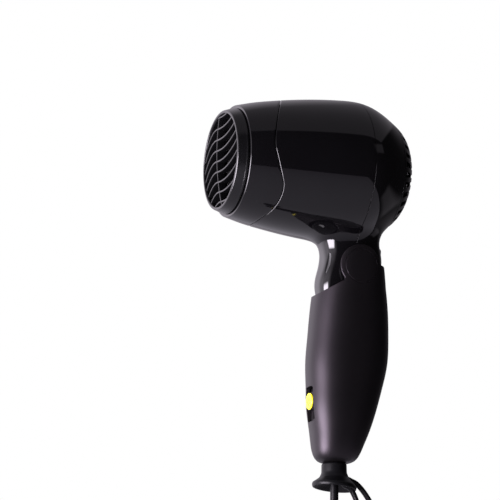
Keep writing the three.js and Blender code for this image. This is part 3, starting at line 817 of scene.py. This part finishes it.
HOOD_Z, HOLLOW_Z = -20, -90  # the hinge is above the first height, the boot's mouth below the second
FAR_OFF = 50.0


def handle_field(p):
    centre, a, b = handle_section(np.clip(p[:, 2], -112, 16)).T
    power = HANDLE_POWER + HOOD_SQUARER * smooth_step((p[:, 2] + 12) / 12)
    return smooth_max(loft_distance(p, centre, a, b, power), HANDLE_END - p[:, 2], END_ROUND)


def hood_field(p):
    """Negative on the handle's side of the hood's slanted rim and round the ears."""
    x, z = p[:, 0], p[:, 2]
    rim = (z - (RIM_POINT[1] + RIM_SLOPE * (x - RIM_POINT[0]))) / math.hypot(1, RIM_SLOPE)
    rim = np.maximum(rim, z - REAR_Z)
    return smooth_min(rim, np.hypot(x, z) - EAR_R, 1.2)


def from_pin(p):
    """Distance from the fold axis, up in the hood only."""
    return np.where(p[:, 2] > HOOD_Z, np.hypot(p[:, 0], p[:, 2]), FAR_OFF)


def make_handle():
    """The soft-touch shell with its hood, and the two caps over the hinge pin."""
    rim_r, slot_r, slot_corner, seat_r, seat_gap = 0.35, 0.25, 1.6, 0.12, 0.07
    net = surface_net(handle_field, (-27, -19, -110), (24, 19, 15))

    def slot(p):
        q = np.abs(np.stack([p[:, 1], p[:, 2] - SWITCH_Z], 1)) - np.array(SWITCH_HALF) + slot_corner
        d = np.hypot(*np.maximum(q, 0).T) + np.minimum(q.max(1), 0) - slot_corner
        return np.where(p[:, 0] < 0, slot_r - d, -10.0)

    def mouth(p):
        return 5.2 - np.where(p[:, 2] < HOLLOW_Z, np.hypot(p[:, 0] - BOOT_X, p[:, 1]), FAR_OFF)

    hood = lambda p: hood_field(p) + rim_r
    seat = lambda p: (CAP_SEAT_R + seat_gap + seat_r) - from_pin(p)
    inside = lambda p: from_pin(p) - (CAP_SEAT_R - seat_gap - seat_r)
    cuts = [(hood, rim_r, 2.4), (slot, slot_r, 2.0), (mouth, None, 0), (seat, seat_r, 1.2)]
    clipped_piece("handle_shell_soft", handle_field, net, cuts, "handle", "soft_touch", ("handle_shell",))
    for side, s in (("near", -1), ("far", 1)):
        half = lambda p, s=s: -s * p[:, 1]
        name, cuts = "hinge_cap_" + side, [(half, None, 0), (inside, seat_r, 1.0)]
        clipped_piece(name + "_soft", handle_field, net, cuts, "handle", "soft_touch", (name,))


def make_switch_button():
    """The domed slide button with three diagonal finger ridges."""
    f, around = SWITCH_FRONT, 56
    skin = Skin()
    t = np.linspace(0, 2 * math.pi, around, endpoint=False)
    rows = []
    for k, d in [(1.0, 0.0), (1.0, 0.35), (0.985, 0.6), (0.93, 0.8), (0.8, 0.93), (0.5, 1.02), (0.02, 1.05)]:
        y, z = 4.15 * k * np.cos(t), KNOB_Z + 4.45 * k * np.sin(t)
        rows.append(np.stack([np.full(around, f + 0.05 - d), y, z], 1))
    skin.grid(rows, ends=(True, True))
    middle, out = np.array([f - 0.92, 0, KNOB_Z]), np.array([1.0, 0, 0])
    d = np.array([0, math.sin(0.75), math.cos(0.75)])
    n = np.array([0, -d[2], d[1]])
    a = np.linspace(0, 2 * math.pi, 12, endpoint=False)[:, None]
    for i, long in ((-1, 2.2), (0, 2.9), (1, 2.2)):
        pts = [middle + n * 1.5 * i + d * q for q in (-long, -long + 0.5, long - 0.5, long)]
        across = np.cos(a) * n + 0.75 * np.sin(a) * out
        skin.grid([q + r * across for q, r in zip(pts, (0.02, 0.35, 0.35, 0.02))], ends=(True, True))
    skin.make("switch_button", "switch", "yellow", ("switch_cap",), smooth_angle=60)


def make_switch_well():
    """The sunk floor the button runs over, slit for its stem."""
    back, deep, slit, margin = SWITCH_FRONT + 2.55, 0.9, 1.3, 0.35
    wide, half = SWITCH_HALF[0] - margin, SWITCH_HALF[1] - margin
    well = Skin()
    for s in (-1, 1):
        side = sorted((s * slit, s * wide))
        well.box((back, side[0], SWITCH_Z - half), (back + deep, side[1], SWITCH_Z + half))
        end = sorted((SWITCH_Z + s * (half - 1.2), SWITCH_Z + s * half))
        well.box((back, -slit + 0.01, end[0]), (back + deep, slit - 0.01, end[1]))
    well.make("switch_well", "handle", "matte_plastic", ("switch_bezel",), smooth_angle=30,
              finish="soft_touch")


def make_boot():
    """The flared strain relief, its mouth cut on a slant, with the hanging loop moulded on."""
    profile = round_profile([
        (-103.5, 3.0), (-103.5, 4.6), (-107.0, 4.6), (-107.0, 6.8), (-112.0, 6.9), (-114.5, 8.0),
        (-116.4, 10.0), (-117.8, 11.6), (-119.0, 12.05), (-120.3, 11.7), (-120.2, 11.0), (-118.4, 9.6),
        (-116.0, 6.6), (-113.5, 4.0), (-112.0, 2.4),
    ], 0.8, 5)
    rows = turned_rows(profile, "z", (BOOT_X, 0), 88)
    for row in rows:
        row[:, 2] -= BOOT_TILT * (row[:, 0] - BOOT_X) * np.clip((-113 - row[:, 2]) / 5, 0, 1)
    skin = Skin().grid(rows, flip=True)
    path = [
        (-4.5, -114.6), (-1.1, -115.4), (1.8, -116.6), (3.8, -118.1), (5.9, -120.2), (9.8, -125.4),
        (13.6, -131.8), (16.2, -139), (16, -146), (12.2, -150.2), (7, -149), (4.4, -143.5), (4.3, -136),
        (3.9, -131), (2.3, -125.8), (0.3, -121.6), (-2, -119.2), (-5, -117.6),
    ]
    run = closed_curve([(x, 0, z) for x, z in path], 120)
    skin.grid(tube_rows(run, 1.4, 16, closed=True, flat=1.25))
    skin.make("strain_relief_loop", "handle", "rubber", ("strain_relief_boot",))


make_handle()
make_switch_button()
make_switch_well()
make_boot()

# CAD nodes that stay get their slot's finish, and the slider under the button the handle's.
for entry in frame["record"]["subparts"]:
    finish = "soft_touch" if entry["node"] == "switch_slider" else entry["material_slot"]
    slots = frame["nodes"][entry["node"]].data.materials
    slots.clear()
    slots.append(MATERIALS[finish])

# ---------- floor and light ----------

FLOOR_Z = -0.285  # just below the hanging plug
FLOOR_X, FLOOR_Y = (-0.45, 0.5), (-1.16, 1.6)
FLOOR_PAINTED_GLOW = {"From Min": -1.2, "From Max": 0.8, "To Min": 0.0, "To Max": 0.44}  # painted glow: the floor's own emission, dark near and bright behind, stands in for light
OVERHEAD, DARK_ROOM, BACKDROP_GREY = 0.24, 0.03, 0.68


def make_floor():
    """A pale sheet of paper with a painted glow: its emission rises towards the back, painted light rather than
    lamp light.
    """
    (x0, x1), (y0, y1), z = FLOOR_X, FLOOR_Y, FLOOR_Z
    mesh = bpy.data.meshes.new("floor")
    mesh.from_pydata([(x0, y0, z), (x1, y0, z), (x1, y1, z), (x0, y1, z)], [], [(0, 1, 2, 3)])
    floor = bpy.data.objects.new("floor", mesh)
    bpy.context.collection.objects.link(floor)
    mat = bpy.data.materials.new("floor_paper_painted_glow")
    mat.use_nodes = True
    tree = mat.node_tree
    shader = tree.nodes["Principled BSDF"]
    shader.inputs["Base Color"].default_value = (0.6, 0.59, 0.64, 1)
    shader.inputs["Roughness"].default_value = 0.9
    shader.inputs["Emission Color"].default_value = (1.0, 0.97, 1.06, 1)
    kinds = ("ShaderNodeTexCoord", "ShaderNodeSeparateXYZ", "ShaderNodeMapRange")
    place, split, glow = (tree.nodes.new(kind) for kind in kinds)
    for key, value in FLOOR_PAINTED_GLOW.items():
        glow.inputs[key].default_value = value
    tree.links.new(place.outputs["Object"], split.inputs[0])
    # painted light: the emission strength grows with y, so the floor glows brighter towards the back
    tree.links.new(split.outputs["Y"], glow.inputs["Value"])
    tree.links.new(glow.outputs["Result"], shader.inputs["Emission Strength"])
    mesh.materials.append(mat)


class Studio:
    """The world's nodes. Strengths are worked out from dx, dy and dz, the direction that light comes from."""

    def __init__(self, tree):
        tree.nodes.clear()
        self.new, self.link = tree.nodes.new, tree.links.new
        split = self.new("ShaderNodeSeparateXYZ")
        self.link(self.new("ShaderNodeTexCoord").outputs["Generated"], split.inputs[0])
        self.dx, self.dy, self.dz = split.outputs

    def calc(self, op, a, b=None):
        node = self.new("ShaderNodeMath")
        node.operation = op
        for socket, value in zip(node.inputs, (a, b)):
            if isinstance(value, (int, float)):
                socket.default_value = value
            elif value is not None:
                self.link(value, socket)
        return node.outputs[0]

    def ramp(self, value, low, high, a=0.0, b=1.0):
        """From a to b, eased, as value goes from low to high."""
        node = self.new("ShaderNodeMapRange")
        node.interpolation_type = "SMOOTHSTEP"
        self.link(value, node.inputs["Value"])
        for key, setting in (("From Min", low), ("From Max", high), ("To Min", a), ("To Max", b)):
            node.inputs[key].default_value = setting
        return node.outputs["Result"]

    def dot(self, v):
        x, y, z = (self.calc("MULTIPLY", d, k) for d, k in zip((self.dx, self.dy, self.dz), v))
        return self.calc("ADD", self.calc("ADD", x, y), z)

    def panel(self, az, el, half_w, half_h, soft, strength):
        """strength inside a soft-edged rectangle of directions, 0 outside; az turns from +X towards +Y."""
        calc, ramp, a, e = self.calc, self.ramp, math.radians(az), math.radians(el)
        axis = Vector((math.cos(a) * math.cos(e), math.sin(a) * math.cos(e), math.sin(e)))
        right = Vector((-math.sin(a), math.cos(a), 0))
        depth = calc("MAXIMUM", self.dot(axis), 1e-3)
        inside = ramp(self.dot(axis), 0.0, 0.05)
        for side, half in ((right, half_w), (axis.cross(right), half_h)):
            off = calc("ABSOLUTE", calc("DIVIDE", self.dot(side), depth))
            inside = calc("MULTIPLY", inside, ramp(off, half - soft, half + soft, 1, 0))
        return calc("MULTIPLY", inside, strength)


def make_world():
    """To the object a soft studio: a panel overhead, a bright one on the left, a dark room in front and a
    pale wall behind. To the camera a plain backdrop, white behind the object and pale grey elsewhere."""
    world = bpy.data.worlds.new("studio")
    bpy.context.scene.world = world
    world.use_nodes = True
    studio = Studio(world.node_tree)
    calc, ramp, panel = studio.calc, studio.ramp, studio.panel
    link, new, dx, dy, dz = studio.link, studio.new, studio.dx, studio.dy, studio.dz

    rise = calc("MAXIMUM", dz, 1e-3)
    near_edge = ramp(calc("DIVIDE", dy, rise), -0.90, -0.84)
    right_edge = ramp(calc("DIVIDE", dx, rise), 1.15, 1.25, 1.0, 0.0)
    above = calc("MULTIPLY", ramp(dz, 0.0, 0.3), OVERHEAD)
    overhead = calc("MULTIPLY", calc("MULTIPLY", near_edge, right_edge), above)
    wall = calc("ADD", ramp(dx, -0.1, 0.55, 1.0, 0.14), ramp(dx, -0.5, -0.1, 0.9, 0.0))
    behind = calc("MULTIPLY", ramp(dy, 0.0, 0.75), wall)
    total = calc("ADD", calc("MAXIMUM", overhead, behind), DARK_ROOM)
    for part in (
        panel(195, -20, 0.4, 0.44, 0.1, 27.0),  # the bright left panel
        panel(188, 0, 0.75, 0.6, 0.35, 1.6),  # its wide glow
        panel(-45, 26, 0.14, 0.1, 0.03, 0.22),  # a small dim one, high on the near right
        panel(0, -24, 0.32, 0.16, 0.08, 0.26),  # a dim one, low on the right
    ):
        total = calc("ADD", total, part)

    light, seen, mix = new("ShaderNodeBackground"), new("ShaderNodeBackground"), new("ShaderNodeMixShader")
    light.inputs["Color"].default_value = (1.0, 0.93, 1.04, 1)
    link(total, light.inputs["Strength"])
    link(ramp(dy, 0.6, 0.83, BACKDROP_GREY, 1.0), seen.inputs["Color"])
    link(new("ShaderNodeLightPath").outputs["Is Camera Ray"], mix.inputs[0])
    link(light.outputs[0], mix.inputs[1])
    link(seen.outputs[0], mix.inputs[2])
    link(mix.outputs[0], new("ShaderNodeOutputWorld").inputs["Surface"])


make_floor()
make_world()
bpy.context.scene.view_settings.view_transform = "Standard"
